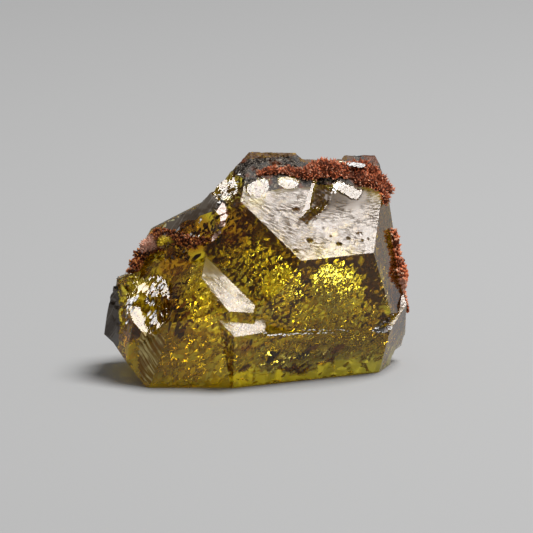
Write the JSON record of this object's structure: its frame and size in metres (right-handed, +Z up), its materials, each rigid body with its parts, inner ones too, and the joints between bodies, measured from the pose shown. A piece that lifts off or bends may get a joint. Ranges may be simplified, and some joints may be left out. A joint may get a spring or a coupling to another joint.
{
  "type": "mineral crystal specimen",
  "caption": "Loose see-through olive-yellow despujolsite crystal with flat growth faces, a stepped ledge, a broken amber lobe and rust-red iron oxide crust.",
  "frame": {"origin": "centre of the bounding box in plan, at the height of the flat broken base the crystal rests on", "axes": "+X to the right and +Y away from the viewer of the side that shows best, +Z up"},
  "size_m": [0.0082, 0.0046, 0.0058],
  "materials": {
    "gem": "see-through olive-yellow to amber crystal, glassy on growth faces, hackly where broken",
    "rust": "rough granular red-orange iron oxide"
  },
  "bodies": {
    "root": {"crystal": "gem", "ridge_crust": "rust", "shoulder_crust": "rust", "side_crust": "rust", "back_crust": "rust", "lobe_crust": "rust"}
  },
  "joints": []
}
